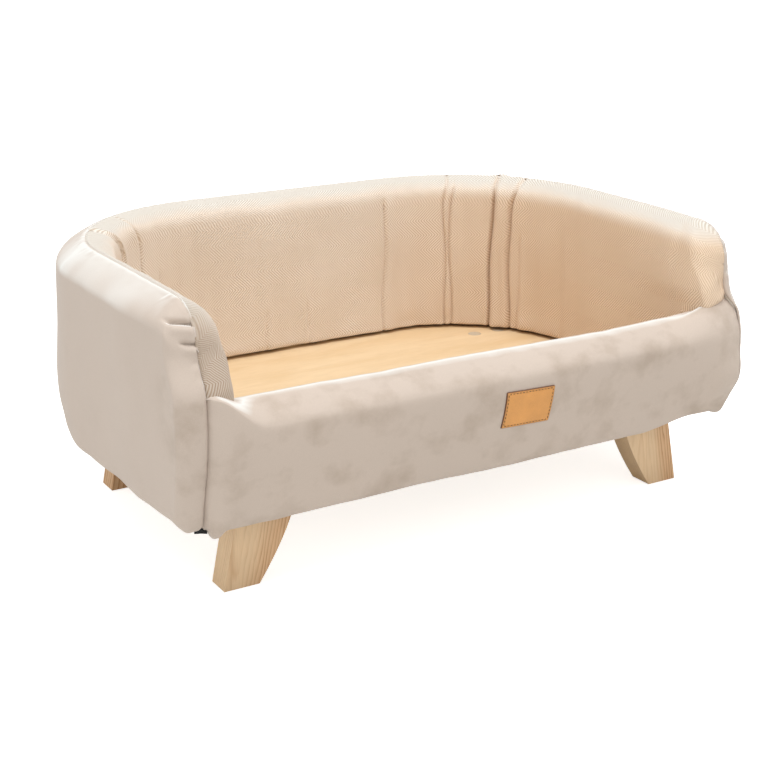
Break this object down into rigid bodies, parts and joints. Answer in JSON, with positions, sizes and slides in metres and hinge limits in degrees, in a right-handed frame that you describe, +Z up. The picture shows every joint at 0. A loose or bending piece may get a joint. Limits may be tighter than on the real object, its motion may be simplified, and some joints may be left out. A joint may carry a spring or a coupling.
{
  "type": "dog sofa bed",
  "caption": "Raised dog sofa bed: plywood floor on splayed wooden legs, padded wall bent round the back and both arms, low padded front rail.",
  "frame": {"origin": "on the floor, under the middle of the bed's bounding box", "axes": "+Z up, +X to the right as seen from the front rail, +Y from the front rail to the back"},
  "size_m": [0.736, 0.5205, 0.316],
  "materials": {
    "plywood": "sanded pale plywood",
    "pine": "planed pine, matt",
    "raw_wood": "sawn pine",
    "thin_ply": "thin plywood",
    "dark_steel": "blackened steel",
    "zinc_steel": "zinc-plated steel",
    "brass_insert": "plain brass",
    "foam": "cut upholstery foam",
    "velvet": "short-pile velvet, beige taupe",
    "herringbone": "woven herringbone, warm beige",
    "tan_leather": "tan leather with burnt edges",
    "black_tape": "black hook and loop tape"
  },
  "bodies": {
    "root": {"base_board": "plywood", "leg_front_left": "pine", "leg_front_right": "pine", "leg_rear_left": "pine", "leg_rear_right": "pine", "leg_bolts": "dark_steel", "leg_inserts": "brass_insert", "batten_front": "raw_wood", "batten_back": "raw_wood", "batten_left": "raw_wood", "batten_right": "raw_wood", "batten_screws": "zinc_steel", "panel_front": "thin_ply", "panel_back": "thin_ply", "panel_left": "thin_ply", "panel_right": "thin_ply", "panel_screws": "zinc_steel", "foam_wall": "foam", "foam_rail": "foam", "outer_cover": "velvet", "inner_lining": "herringbone", "rail_cover": "velvet", "leather_patch": "tan_leather", "hook_tape": "black_tape", "loop_tape": "black_tape"}
  },
  "joints": []
}
